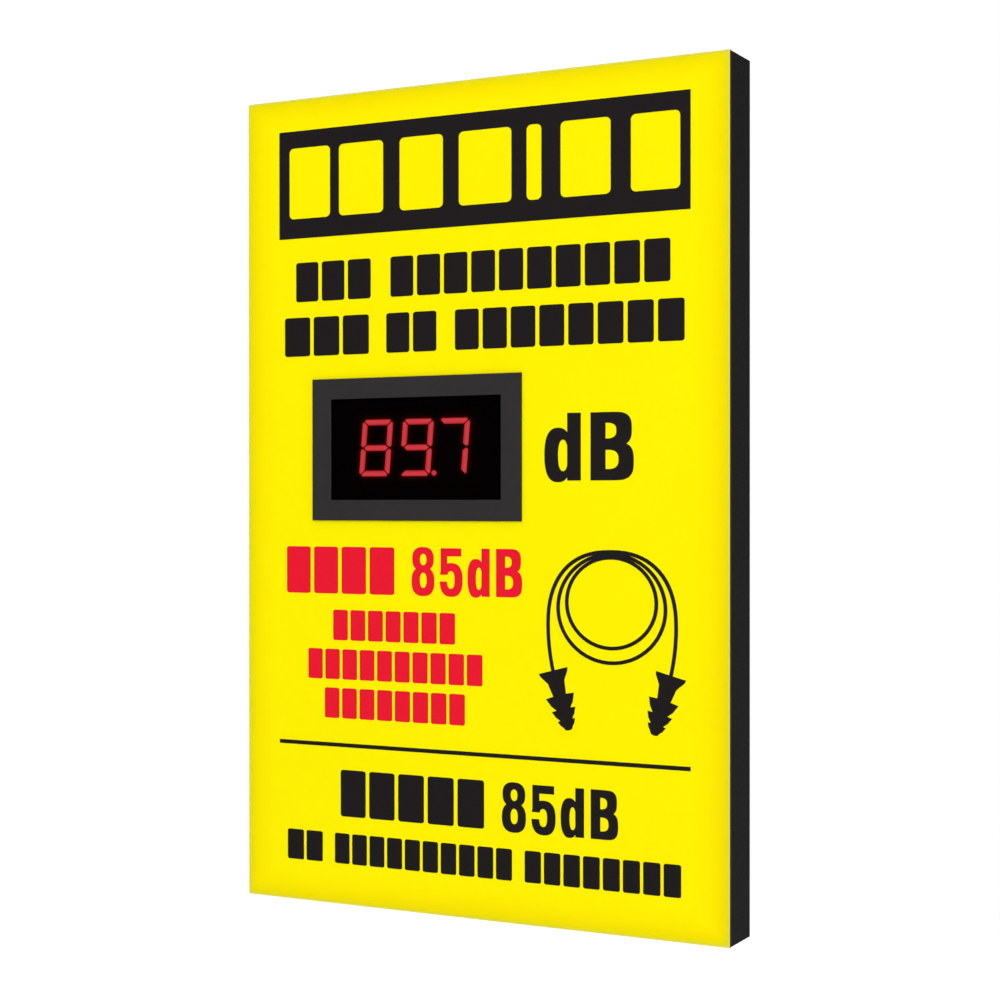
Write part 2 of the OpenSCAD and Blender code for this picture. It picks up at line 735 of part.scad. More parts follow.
// Standoffs of the main board and posts of the control board
module board_standoffs() {
  color([0.76, 0.77, 0.79]) {
    for (p = standoffs) difference() {
      union() {
        y_rod(p[0], p[1], y_pcb + board_t, y_back, 3);
        y_rod(p[0], p[1], y_back - 0.1, -0.3, standoff_foot_r);
      }
      y_rod(p[0], p[1], y_pcb, y_back - 0.5, thread_hole_r);
    }
    for (x = control_posts) difference() {
      z_rod(x, web_in, control_z, 3);
      z_rod(x, web_in + 1.5, control_z + 1, thread_hole_r);
    }
  }
}
// Pan-head screw along +Z: head below z = 0, shank above it
module pan_screw(length) {
  difference() {
    union() {
      translate([0, 0, -1.7]) cylinder(h = 1.7, r = 2.75);
      translate([0, 0, -0.1]) cylinder(h = length + 0.1, r = 1.25);
    }
    translate([-2, -0.4, -2]) cube([4, 0.8, 1.2]);
    translate([-0.4, -2, -2]) cube([0.8, 4, 1.2]);
  }
}
sink_x = -70;
sink_z = -176;                         // flat side of the heat sink
tab_z = sink_z - 1.35;                 // underside of the regulator's tab
tab_hole_y = y_pcb - 14;
module board_screws() {
  color([0.6, 0.61, 0.63]) {
    for (p = standoffs) translate([p[0], y_pcb, p[1]]) rotate([-90, 0, 0]) pan_screw(6);
    for (x = control_posts)
      translate([x, y_mid, control_z + board_t]) rotate([180, 0, 0]) pan_screw(6);
    translate([sink_x, tab_hole_y, tab_z]) pan_screw(3.6);
  }
}
// Square chip with leads on all four sides
module microcontroller() {
  x = 10;
  z = -190;
  size = 10;
  pitch = 0.8;
  color(chip_black) union() {
    chip(x, z, size, size, thick = 1.4, leads = 11, pitch = pitch, board = y_pcb, dir = -1);
    for (i = [0:10], side = [-1, 1])
      block(x + side * (size / 2 + lead_out), z + (i - 5) * pitch, lead_l, lead_w,
            y_pcb - lead_t, y_pcb);
  }
}
module preamp_chips() {
  color(chip_black) for (z = [-207, -192])
    chip(42, z, 4.9, 3.9, thick = 1.5, leads = 4, pitch = 1.27, board = y_pcb, dir = -1);
}
module crystal() {
  color([0.8, 0.8, 0.82]) rounded(22.5, -178, 33.5, -173.5, 2.2, y_pcb - 3.6, y_pcb - 0.1);
}
// Electrolytic can standing on the board, with the pressed-in groove near its foot.
// Outline points are radius and distance from the board.
module can(x, radius, height) {
  neck = radius - 0.5;
  translate([x, y_pcb - 0.1, -207]) rotate([90, 0, 0]) rotate_extrude()
    polygon([[0, 0], [radius, 0], [radius, 1], [neck, 1.5], [neck, 1.8], [radius, 2.3],
             [radius, height - 0.5], [neck, height], [0, height]]);
}
module filter_capacitors() {
  color([0.1, 0.12, 0.3]) {
    can(-54, 5, 12.5);
    can(-40, 5, 12.5);
    can(-27, 4, 11);
  }
}
module voltage_regulator() {
  color([0.1, 0.1, 0.1]) union() {
    difference() {
      box(sink_x - 5, sink_x + 5, y_pcb - 17.5, y_pcb - 2, tab_z, sink_z - 0.05);
      z_rod(sink_x, sink_z - 3, sink_z + 1, 1.9, y = tab_hole_y);
    }
    box(sink_x - 5, sink_x + 5, y_pcb - 11, y_pcb - 2, sink_z - 4.4, sink_z - 0.05);
    for (i = [-1:1])
      block(sink_x + i * 2.54, sink_z - 2.45, 0.8, 0.5, y_pcb - 2.1, y_pcb);
  }
}
module regulator_heatsink() {
  left = sink_x - 12;
  front = y_pcb - 21;
  rear = y_pcb - 0.2;
  fin_pitch = 4.56;
  fin_t = 1.2;
  color([0.15, 0.15, 0.16]) difference() {
    union() {
      box(left, sink_x + 12, front, rear, sink_z, sink_z + 2.5);
      for (i = [0:5])
        box(left + i * fin_pitch, left + fin_t + i * fin_pitch, front, rear,
            sink_z + 2.4, sink_z + 11);
    }
    z_rod(sink_x, sink_z - 1, sink_z + 3, 1.35, y = tab_hole_y);
  }
}
// Grid of small parts, x and z being the centre of its lower left one
component_t = 0.6;
module components(x, z, columns, rows, pitch, size = [2, 1.25], front = y_pcb - component_t) {
  for (i = [0:columns - 1], j = [0:rows - 1])
    block(x + i * pitch[0], z + j * pitch[1], size[0], size[1], front, front + component_t);
}
module chip_components() {
  color([0.55, 0.42, 0.28]) {
    components(-8, -168, 8, 2, pitch = [4.4, 5]);
    components(24, -212, 3, 4, pitch = [4.4, 5]);
    components(-12, -200, 1, 5, pitch = [0, 5], size = [1.25, 2]);
    components(-10, 50, 6, 1, pitch = [4, 0], front = y_display_rear);
  }
}

// Cable header: an open shell with its floor against the board
main_plug_z = -166;                    // height of the ribbon's lower plug
lower_header_z = -219;                 // headers for the power and control wires
mic_header_z = -207.5;
module header(x, z, width, height, front, rear, open_front = true) {
  difference() {
    block(x, z, width, height, front, rear);
    block(x, z, width - 2.2, height - 2.2,
          open_front ? front - 1 : front + 1, open_front ? rear - 1 : rear + 1);
  }
}
module cable_headers() {
  color([0.12, 0.12, 0.12]) {
    header(meter_x, display_plug_z, 20.4, 8.6, y_display_rear, y_display_rear + 5,
           open_front = false);
    header(meter_x, main_plug_z, 20.4, 8.6, y_pcb - 5, y_pcb);
    header(-78, lower_header_z, 9, 7, y_pcb - 6, y_pcb);
    header(54.75, mic_header_z, 9, 7, y_pcb - 6, y_pcb);
    header(control_x, lower_header_z, 14, 7, y_pcb - 6, y_pcb);
  }
}
ribbon_w = 12.7;
ribbon_t = 0.9;
ribbon_end = 3.5;                      // how far it runs past each plug's centre
y_upper_ribbon = -16.4;                // its front face at the upper plug
y_lower_ribbon = -19.9;                // and at the lower plug
// Front face of the ribbon: y and z
ribbon_line = [
  [y_lower_ribbon, main_plug_z - ribbon_end], [y_lower_ribbon, -120],
  [y_upper_ribbon, -20], [y_upper_ribbon, display_plug_z + ribbon_end]
];
module ribbon_cable() {
  color([0.55, 0.56, 0.58]) translate([meter_x - ribbon_w / 2, 0, 0]) rotate([90, 0, 90])
    linear_extrude(height = ribbon_w)
      polygon(concat(ribbon_line, [for (p = reversed(ribbon_line)) p + [ribbon_t, 0]]));
}
module ribbon_plugs() {
  color([0.08, 0.08, 0.08]) {
    block(meter_x, display_plug_z, 17.8, 6, y_display_rear + 2, y_upper_ribbon);
    block(meter_x, main_plug_z, 17.8, 6, y_lower_ribbon + ribbon_t, y_pcb - 2);
  }
}

// ---- controls in the lower edge ---------------------------------------------------------------

module control_pcb() {
  color(board_green) difference() {
    upright(control_x, 30, 10, control_z, control_z + board_t);
    for (x = control_posts) z_rod(x, control_z - 1, control_z + 3, board_hole_r);
  }
}
module button_switches() {
  color([0.15, 0.15, 0.16]) for (x = [down_x, up_x]) difference() {
    upright(x, 3, 3, control_z - 3.6, control_z);
    z_rod(x, control_z - 5, control_z - 1.2, 1.8);
  }
}
// Cap, retaining collar and plunger
module cap_button(x) {
  union() {
    z_rod(x, web_z - 0.8, web_in + 2.2, button_r);
    z_rod(x, web_in + 0.1, web_in + 0.9, button_r + 0.9);
    z_rod(x, web_in + 2, control_z - 2.6, 1.7);
  }
}
module up_button() { color(cap_grey) cap_button(up_x); }
module down_button() { color(cap_grey) cap_button(down_x); }
module trimmer_body() {
  color([0.1, 0.25, 0.6]) difference() {
    upright(control_x, 3.5, 3.5, control_z - 5, control_z);
    z_rod(control_x, control_z - 6, control_z - 2.5, rotor_r + 0.05);
  }
}
module trimmer_rotor() {
  color([0.85, 0.7, 0.35]) difference() {
    z_rod(control_x, control_z - 5.8, control_z - 2.6, rotor_r);
    upright(control_x, 3, 0.35, control_z - 7, control_z - 4.9);
  }
}

switch_top = web_z + 18;
module power_switch_body() {
  color(switch_black) difference() {
    union() {
      upright(rocker_x, 10.5, 7.5, web_z - 1, web_z);
      upright(rocker_x, switch_half_x, switch_half_y, web_z - 0.5, switch_top);
    }
    upright(rocker_x, 8.5, 5.3, web_z - 2, web_z + 11.5);
    y_rod(rocker_x, pivot_z, y_mid - 6.3, y_mid + 6.3, pin_r + 0.02);
  }
}
module power_switch_pin() {
  color(bright_steel) y_rod(rocker_x, pivot_z, y_mid - 6.2, y_mid + 6.2, pin_r);
}
// The rocker's outer face is a shallow V; its two ends are round about the pivot
module power_rocker() {
  ridge_z = -3.4;
  end_z = ridge_z - 10 * tan(rocker_tilt);
  color([0.1, 0.1, 0.1]) translate([rocker_x, 0, pivot_z]) rotate([0, rocker_tilt, 0]) difference() {
    intersection() {
      y_rod(0, 0, y_mid - 5, y_mid + 5, 8.2);
      slab(y_mid - 6, y_mid + 6)
        polygon([[-10, 3], [10, 3], [10, end_z], [0, ridge_z], [-10, end_z]]);
    }
    y_rod(0, 0, y_mid - 7, y_mid + 7, pin_r + pin_clear);
  }
}
terminal_x = 6;                        // from the switch's centre to each terminal
module switch_terminals() {
  color(contact_metal) for (side = [-1, 1])
    upright(rocker_x + side * terminal_x, 2.4, 0.4, switch_top, switch_top + 6);
}

jack_top = web_z + 16;
contact_x = 3;                         // from the jack's centre to each rear contact
module dc_jack() {
  color(switch_black) difference() {
    union() {
      z_rod(jack_x, web_z - 1.2, web_z, 7);
      z_rod(jack_x, web_z - 0.1, jack_top, jack_r);
    }
    z_rod(jack_x, web_z - 2, web_z + 10, 3.2);
    z_rod(jack_x, web_z + 9, web_z + 14.1, 1.07);
  }
}
module dc_jack_nut() {
  color([0.7, 0.71, 0.73]) difference() {
    translate([jack_x, y_mid, web_in]) cylinder(h = 2.2, r = 8, $fn = 6);
    z_rod(jack_x, web_in - 1, web_in + 4, jack_r + 0.05);
  }
}
module dc_jack_contacts() {
  color(contact_metal) {
    z_rod(jack_x, web_z - 0.4, web_z + 14, 1.05);
    for (side = [-1, 1]) upright(jack_x + side * contact_x, 1.1, 0.3, jack_top, jack_top + 5);
  }
}
// Section of the boot: radius and height above the outer face of the edge
boot_section = [
  [4.9, -0.5], [5.6, -0.5], [5.6, -1.2], [8, -1.2], [8.5, -0.7], [8.5, 0], [6.4, 0],
  [6.4, frame_t], [8.5, frame_t], [8.5, frame_t + 1.5], [7, frame_t + 2], [7, 10.5], [4.9, 10.5]
];
module microphone_boot() {
  color([0.09, 0.09, 0.09]) translate([mic_x, y_mid, web_z]) rotate_extrude() polygon(boot_section);
}
mic_pin_x = 1.3;
module microphone_capsule() {
  color(bright_steel) union() {
    z_rod(mic_x, web_z + 0.8, web_z + 7, 4.85);
    for (side = [-1, 1]) z_rod(mic_x + side * mic_pin_x, web_z + 6.9, web_z + 8.4, 0.3);
  }
}
module microphone_mesh() {
  pitch = 1.3;
  color([0.5, 0.5, 0.5]) difference() {
    z_rod(mic_x, web_z - 0.9, web_z - 0.5, 5.5);
    for (i = [-3:3], j = [-3:3]) if (i * i + j * j < 11)
      z_rod(mic_x + i * pitch, web_z - 2, web_z + 1, 0.4, y = y_mid + j * pitch);
  }
}

// Wires: each runs through points in x, y, z
y_wire_end = y_pcb - 3;                // depth of the wires at the main board's headers
lower_end_z = lower_header_z - 3.6;
mic_end_z = mic_header_z - 3.6;
module power_wires() {
  jack_left = jack_x - contact_x;
  jack_right = jack_x + contact_x;
  switch_left = rocker_x - terminal_x;
  switch_right = rocker_x + terminal_x;
  color([0.6, 0.05, 0.05]) {
    wire([[jack_right, y_mid, web_z + 21.1], [jack_right, y_mid, -227.4],
          [switch_left, y_mid, -227.4], [switch_left, y_mid, web_z + 24.1]], 0.7);
    wire([[switch_right, y_mid, web_z + 24.1], [switch_right, y_mid, web_z + 25],
          [switch_right, -15.5, -226.8], [-76, y_wire_end, -226.8],
          [-76, y_wire_end, lower_end_z]], 0.7);
    wire([[jack_left, y_mid, web_z + 21.1], [jack_left, y_mid, web_z + 22],
          [jack_left, y_wire_end, -229.5], [-80, y_wire_end, -229.5],
          [-80, y_wire_end, lower_end_z]], 0.7);
  }
}
module signal_wires() {
  mic_left = mic_x - mic_pin_x;
  mic_right = mic_x + mic_pin_x;
  color([0.85, 0.85, 0.8]) {
    wire([[mic_left, y_mid, web_z + 8.5], [mic_left, y_mid, -237], [53.5, -14, -229],
          [53.5, y_wire_end, mic_end_z]], 0.5);
    wire([[mic_right, y_mid, web_z + 8.5], [mic_right, y_mid, -232], [56.5, -16, -224],
          [56.5, y_wire_end, mic_end_z]], 0.5);
    for (i = [0:3]) {
      x = control_x - 4.5 + 3 * i;
      wire([[x, -14, control_z + 1.7], [x, -14, -231], [x, y_wire_end, -226.5],
            [x, y_wire_end, lower_end_z]], 0.5);
    }
  }
}

face_overlay();
header_print();
black_print();
red_print();
face_panel();
panel_tape();
frame_top();
frame_bottom();
frame_left();
frame_right();
corner_keys();
corner_key_screws();
back_panel();
back_panel_screws();
clinch_nuts();
hanger_plates();
hanger_rivets();
meter_bezel();
display_window();
display_mask();
display_module();
lit_segments();
unlit_segments();
display_pins();
display_pcb();
display_driver();
meter_back_cover();
meter_clamps();
meter_clamp_screws();
main_pcb();
board_standoffs();
board_screws();
microcontroller();
preamp_chips();
crystal();
filter_capacitors();
voltage_regulator();
regulator_heatsink();
chip_components();
cable_headers();
ribbon_cable();
ribbon_plugs();
control_pcb();
button_switches();
trimmer_body();
trimmer_rotor();
up_button();
down_button();
power_switch_body();
power_switch_pin();
power_rocker();
switch_terminals();
dc_jack();
dc_jack_nut();
dc_jack_contacts();
microphone_capsule();
microphone_boot();
microphone_mesh();
power_wires();
signal_wires();
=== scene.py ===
import bpy, bmesh, json, math
from mathutils import Matrix, Vector


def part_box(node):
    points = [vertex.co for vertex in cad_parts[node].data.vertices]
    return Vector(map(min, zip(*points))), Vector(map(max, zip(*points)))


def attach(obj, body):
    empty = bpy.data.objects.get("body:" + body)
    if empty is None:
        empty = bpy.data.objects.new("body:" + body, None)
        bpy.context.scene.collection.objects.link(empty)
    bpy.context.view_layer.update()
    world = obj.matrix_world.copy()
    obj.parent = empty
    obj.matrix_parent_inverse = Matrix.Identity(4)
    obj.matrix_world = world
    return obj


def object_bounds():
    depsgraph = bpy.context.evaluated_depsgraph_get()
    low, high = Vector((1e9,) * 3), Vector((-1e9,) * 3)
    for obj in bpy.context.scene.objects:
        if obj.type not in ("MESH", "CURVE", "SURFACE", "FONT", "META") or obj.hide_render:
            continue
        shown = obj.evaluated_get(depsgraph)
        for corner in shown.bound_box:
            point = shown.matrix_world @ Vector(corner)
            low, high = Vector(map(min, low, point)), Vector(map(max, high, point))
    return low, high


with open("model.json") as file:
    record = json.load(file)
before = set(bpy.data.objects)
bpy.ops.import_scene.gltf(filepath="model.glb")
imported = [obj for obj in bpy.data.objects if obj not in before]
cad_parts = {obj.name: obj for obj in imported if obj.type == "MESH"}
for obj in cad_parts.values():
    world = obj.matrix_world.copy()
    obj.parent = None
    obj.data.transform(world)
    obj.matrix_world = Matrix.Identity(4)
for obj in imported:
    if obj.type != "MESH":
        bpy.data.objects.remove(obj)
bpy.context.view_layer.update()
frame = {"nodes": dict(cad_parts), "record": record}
N = frame["nodes"]
scene = bpy.context.scene


# ---------------------------------------------------------------------------------------------
# Node helpers
# ---------------------------------------------------------------------------------------------
def lin(r, g, b):
    """sRGB 0-255 to linear."""
    f = lambda c: c / 12.92 if c <= 0.04045 else ((c + 0.055) / 1.055) ** 2.4
    return (f(r / 255), f(g / 255), f(b / 255), 1.0)


class Mat:
    """A procedural material in object space, which here is the row frame in metres."""

    def __init__(self, name, slot=None):
        self.m = bpy.data.materials.new(name)
        self.m.use_nodes = True
        self.t = self.m.node_tree
        self.t.nodes.clear()
        self.out = self.add("ShaderNodeOutputMaterial")
        self.co = self.add("ShaderNodeTexCoord").outputs["Object"]

    def add(self, kind, **props):
        n = self.t.nodes.new(kind)
        for k, v in props.items():
            setattr(n, k, v)
        return n

    def link(self, a, b):
        self.t.links.new(a, b)

    def put(self, socket, v):
        if isinstance(v, bpy.types.NodeSocket):
            self.link(v, socket)
        else:
            socket.default_value = v

    def math(self, op, a, b=0.0, c=None, clamp=False):
        n = self.add("ShaderNodeMath", operation=op, use_clamp=clamp)
        self.put(n.inputs[0], a)
        self.put(n.inputs[1], b)
        if c is not None:
            self.put(n.inputs[2], c)
        return n.outputs[0]

    def vmath(self, op, a, b=None, scale=None):
        n = self.add("ShaderNodeVectorMath", operation=op)
        self.put(n.inputs[0], a)
        if b is not None:
            self.put(n.inputs[1], b)
        if scale is not None:
            self.put(n.inputs["Scale"], scale)
        return n.outputs["Value"] if op in ("LENGTH", "DOT_PRODUCT", "DISTANCE") else n.outputs[0]

    def xyz(self, v=None):
        n = self.add("ShaderNodeSeparateXYZ")
        self.put(n.inputs[0], self.co if v is None else v)
        return n.outputs[0], n.outputs[1], n.outputs[2]

    def noise(self, scale, detail=2.0, rough=0.5, stretch=None):
        """Noise with features about 1/scale metres across; stretch multiplies the axes."""
        n = self.add("ShaderNodeTexNoise")
        n.inputs["Scale"].default_value = scale
        n.inputs["Detail"].default_value = detail
        n.inputs["Roughness"].default_value = rough
        self.link(self.vmath("MULTIPLY", self.co, stretch) if stretch else self.co, n.inputs["Vector"])
        return n.outputs["Fac"]

    def cells(self, scale, feature="F1"):
        n = self.add("ShaderNodeTexVoronoi", feature=feature)
        n.inputs["Scale"].default_value = scale
        self.link(self.co, n.inputs["Vector"])
        return n.outputs["Distance"]

    def ramp(self, fac, stops, interp="LINEAR"):
        n = self.add("ShaderNodeValToRGB")
        n.color_ramp.interpolation = interp
        e = n.color_ramp.elements
        while len(e) < len(stops):
            e.new(0.5)
        for s, (p, col) in zip(e, stops):
            s.position = p
            s.color = col if not isinstance(col, (int, float)) else (col, col, col, 1)
        self.put(n.inputs[0], fac)
        return n.outputs[0]

    def remap(self, v, a, b, c, d):
        n = self.add("ShaderNodeMapRange")
        self.put(n.inputs[0], v)
        for i, x in zip((1, 2, 3, 4), (a, b, c, d)):
            n.inputs[i].default_value = x
        return n.outputs[0]

    def mix(self, fac, a, b, kind="MIX"):
        n = self.add("ShaderNodeMix", data_type="RGBA", blend_type=kind)
        self.put(n.inputs[0], fac)
        self.put(n.inputs[6], a)
        self.put(n.inputs[7], b)
        return n.outputs[2]

    def bump(self, height, distance, strength=1.0, normal=None):
        n = self.add("ShaderNodeBump")
        n.inputs["Strength"].default_value = strength
        n.inputs["Distance"].default_value = distance
        self.put(n.inputs["Height"], height)
        if normal is not None:
            self.link(normal, n.inputs["Normal"])
        return n.outputs[0]

    def edge(self, width=0.0006):
        """About 1 on an edge, 0 on flats, from the difference of bevelled and true normals. It places the edge wear and
        the painted edge highlights.
        """
        b = self.add("ShaderNodeBevel", samples=2)
        b.inputs["Radius"].default_value = width
        g = self.add("ShaderNodeNewGeometry")
        d = self.vmath("DOT_PRODUCT", b.outputs[0], g.outputs["Normal"])
        return self.remap(d, 1.0, 0.85, 0.0, 1.0)

    def principled(self, **kw):
        p = self.add("ShaderNodeBsdfPrincipled")
        for k, v in kw.items():
            self.put(p.inputs[k.replace("_", " ")], v)
        self.link(p.outputs[0], self.out.inputs[0])
        self.p = p
        return p


# ---------------------------------------------------------------------------------------------
# Materials
# ---------------------------------------------------------------------------------------------
YELLOW_PAINTED_EDGE_SHADE_AND_HIGHLIGHT = [  # distance from the face's edge in metres, colour. The colours are painted shade that darkens the yellow towards every edge, with a pale painted highlight line at the very edge
    (0.0, lin(227, 216, 84)), (0.0008, lin(227, 217, 52)), (0.0016, lin(232, 220, 26)), (0.0025, lin(239, 223, 7)),
    (0.0035, lin(243, 225, 1)), (0.005, lin(247, 227, 1)), (0.0065, lin(250, 229, 1)), (0.0085, lin(252, 232, 1)),
    (0.012, lin(254, 236, 1)), (0.016, lin(255, 239, 1)), (0.021, lin(255, 241, 1)),
]


def film_grain(m):
    """Very fine texture of a matt printed film, with long soft waves from the roll."""
    a = m.noise(2600, 3, 0.6)
    b = m.noise(9, 2, 0.5, (1, 1, 0.35))
    h = m.math("ADD", m.math("MULTIPLY", a, 0.35), m.math("MULTIPLY", b, 6.0))
    return m.bump(h, 0.00002, 0.5)


def yellow_film():
    m = Mat("yellow_film")
    lo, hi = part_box("face_overlay")
    x, y, z = m.xyz()
    dx = m.math("SUBTRACT", hi.x, m.math("ABSOLUTE", x))
    dz = m.math("SUBTRACT", hi.z, m.math("ABSOLUTE", z))
    # a soft corner where the two painted edge shades meet
    d = m.math("SMOOTH_MIN", dx, dz, 0.006)
    span = YELLOW_PAINTED_EDGE_SHADE_AND_HIGHLIGHT[-1][0]
    # painted shade towards the edges and a painted highlight line at the very edge, from the ramp above
    col = m.ramp(m.math("DIVIDE", d, span, clamp=True), [(p / span, c) for p, c in YELLOW_PAINTED_EDGE_SHADE_AND_HIGHLIGHT])
    fine = m.remap(m.noise(1700, 3, 0.65), 0.3, 0.7, 0.985, 1.01)
    broad = m.remap(m.noise(14, 2), 0.35, 0.65, 0.993, 1.004)
    tint = m.math("MULTIPLY", fine, broad)
    sc = m.vmath("SCALE", col, scale=tint)
    rough = m.remap(m.noise(700, 2), 0.3, 0.7, 0.46, 0.56)
    m.principled(Base_Color=sc, Roughness=rough, Specular_IOR_Level=0.022, Normal=film_grain(m))
    return m.m


def ink(name, col, spec=0.055):
    m = Mat(name)
    v = m.remap(m.noise(1500, 3, 0.6), 0.3, 0.7, 0.92, 1.08)
    base = m.vmath("SCALE", col[:3], scale=v)
    # the ink's roughness varies a little in fine random patches
    rough = m.remap(m.noise(900, 2), 0.3, 0.7, 0.42, 0.54)
    m.principled(Base_Color=base, Roughness=rough, Specular_IOR_Level=spec, Normal=film_grain(m))
    return m.m


def powder_coat(name, col, grain=1500, depth=0.00006, rough=0.62, spec=0.3):
    """Fine even orange peel, a faint speckle, and edges painted paler: partly rubbed wear, partly a painted edge
    highlight.
    """
    m = Mat(name)
    n = m.noise(grain, 3, 0.6)
    c = m.cells(grain * 0.55, "SMOOTH_F1")
    h = m.math("ADD", n, m.math("MULTIPLY", c, -0.6))
    # paler edges in patches: partly rubbed wear, partly a painted highlight along the edges
    wear_and_edge_highlight = m.math("MULTIPLY", m.edge(0.0006), m.remap(m.noise(160, 3), 0.4, 0.7, 0.12, 0.6))
    v = m.math("MULTIPLY", m.remap(m.noise(1100, 2, 0.7), 0.3, 0.7, 0.86, 1.16), m.remap(m.noise(25, 2), 0.3, 0.7, 0.98, 1.02))
    base = m.mix(wear_and_edge_highlight, m.vmath("SCALE", col[:3], scale=v), (0.075, 0.073, 0.072, 1))
    r = m.remap(m.noise(grain * 0.5, 2), 0.3, 0.7, rough - 0.06, rough + 0.06)
    m.principled(Base_Color=base, Roughness=r, Specular_IOR_Level=spec, Normal=m.bump(h, depth, 0.6))
    return m.m


def moulded(name, col, grain=2200, depth=0.00004, rough=0.5, spec=0.35, edge_highlight_gain=0.25):
    """Moulded plastic with a spark-eroded texture, slightly polished edges, and a painted highlight that pales the
    colour along the edges.
    """
    m = Mat(name)
    h = m.math("ADD", m.noise(grain, 4, 0.6), m.math("MULTIPLY", m.cells(grain * 0.8), 0.5))
    e = m.edge(0.0004)
    v = m.remap(m.noise(45, 2), 0.3, 0.7, 0.95, 1.06)
    # painted highlight: the edges take a paler copy of the colour
    base = m.mix(m.math("MULTIPLY", e, edge_highlight_gain), m.vmath("SCALE", col[:3], scale=v), tuple(min(1, x * 2.2 + 0.01) for x in col[:3]) + (1,))
    r = m.math("SUBTRACT", m.remap(m.noise(300, 2), 0.3, 0.7, rough - 0.04, rough + 0.05), m.math("MULTIPLY", e, 0.1))
    m.principled(Base_Color=base, Roughness=r, Specular_IOR_Level=spec, Normal=m.bump(h, depth, 0.55))
    return m.m


def metal(name, col, rough=0.3, brushed=None, grain=900):
    m = Mat(name)
    n = m.noise(grain, 3, 0.6, brushed)
    v = m.remap(n, 0.3, 0.7, 0.88, 1.08)
    r = m.remap(m.noise(grain * 0.6, 3, 0.6, brushed), 0.25, 0.75, rough - 0.07, rough + 0.1)
    m.principled(Base_Color=m.vmath("SCALE", col[:3], scale=v), Roughness=r, Metallic=1.0, Normal=m.bump(n, 0.00001, 0.4))
    return m.m


def board(name):
    """Circuit board: glass weave, solder mask and faint tracks."""
    m = Mat(name)
    x, y, z = m.xyz()
    u = m.math("ADD", x, m.math("MULTIPLY", y, 0.37))
    tracks = m.math("GREATER_THAN", m.math("ABSOLUTE", m.math("SINE", m.math("MULTIPLY", u, 1250))), 0.82)
    lanes = m.math("GREATER_THAN", m.noise(60, 1, 0.4, (1, 1, 0.2)), 0.5)
    t = m.math("MULTIPLY", tracks, lanes)
    weave = m.math("MULTIPLY", m.math("SINE", m.math("MULTIPLY", x, 5200)), m.math("SINE", m.math("MULTIPLY", z, 5200)))
    base = m.mix(t, (0.012, 0.105, 0.04, 1), (0.02, 0.17, 0.065, 1))
    m.principled(Base_Color=base, Roughness=m.remap(m.noise(300, 2), 0.3, 0.7, 0.26, 0.38), Specular_IOR_Level=0.5,
                 Normal=m.bump(m.math("ADD", t, m.math("MULTIPLY", weave, 0.08)), 0.00004, 0.7))
    return m.m


def smoked_window():
    """Polished dark red acrylic: it passes red light and reflects a little."""
    m = Mat("smoked_window")
    tr = m.add("ShaderNodeBsdfTransparent")
    tr.inputs[0].default_value = (0.86, 0.52, 0.52, 1)
    gl = m.add("ShaderNodeBsdfGlossy")
    gl.inputs["Color"].default_value = (1, 1, 1, 1)
    m.put(gl.inputs["Roughness"], m.remap(m.noise(40, 3), 0.3, 0.7, 0.015, 0.05))
    fr = m.add("ShaderNodeFresnel")
    fr.inputs["IOR"].default_value = 1.49
    # very faint surface waviness and a few wipe marks
    wave = m.bump(m.math("ADD", m.noise(30, 2), m.math("MULTIPLY", m.noise(500, 3, 0.6, (0.2, 1, 1)), 0.04)), 0.00002, 0.4)
    m.link(wave, gl.inputs["Normal"])
    m.link(wave, fr.inputs["Normal"])
    mx = m.add("ShaderNodeMixShader")
    geo = m.add("ShaderNodeNewGeometry")
    m.link(m.math("MULTIPLY", fr.outputs[0], m.math("MULTIPLY_ADD", geo.outputs["Backfacing"], -0.6, 0.6)), mx.inputs[0])
    m.link(tr.outputs[0], mx.inputs[1])
    m.link(gl.outputs[0], mx.inputs[2])
    m.link(mx.outputs[0], m.out.inputs[0])
    return m.m


# Where the lit strokes run on the LED block, worked out from the lit segments' own boxes
LIT = []
for poly in [0]:
    me = N["lit_segments"].data
    # split the node's mesh into its separate segments by shared position
    key, parent = {}, []
    def find(i):
        while parent[i] != i:
            parent[i] = parent[parent[i]]
            i = parent[i]
        return i
    ids = []
    for v in me.vertices:
        k = tuple(round(c, 6) for c in v.co)
        if k not in key:
            key[k] = len(parent)
            parent.append(len(parent))
        ids.append(key[k])
    for p in me.polygons:
        a = find(ids[p.vertices[0]])
        for v in p.vertices[1:]:
            parent[find(ids[v])] = a
    groups = {}
    for k, i in key.items():
        groups.setdefault(find(i), []).append(Vector(k))
    for g in groups.values():
        lo = Vector((min(v.x for v in g), 0, min(v.z for v in g)))
        hi = Vector((max(v.x for v in g), 0, max(v.z for v in g)))
        c = sum(((Vector((v.x, 0, v.z))) for v in g), Vector()) / len(g)
        w, h = hi.x - lo.x, hi.z - lo.z
        half = 0.00175
        if w < 0.005 and h < 0.005:
            LIT.append((c, c, w / 2))
        elif w > h:
            LIT.append((Vector((lo.x + half, 0, c.z)), Vector((hi.x - half, 0, c.z)), half))
        else:
            s = (w - 2 * half) / 2
            LIT.append((Vector((c.x - s, 0, lo.z + half)), Vector((c.x + s, 0, hi.z - half)), half))


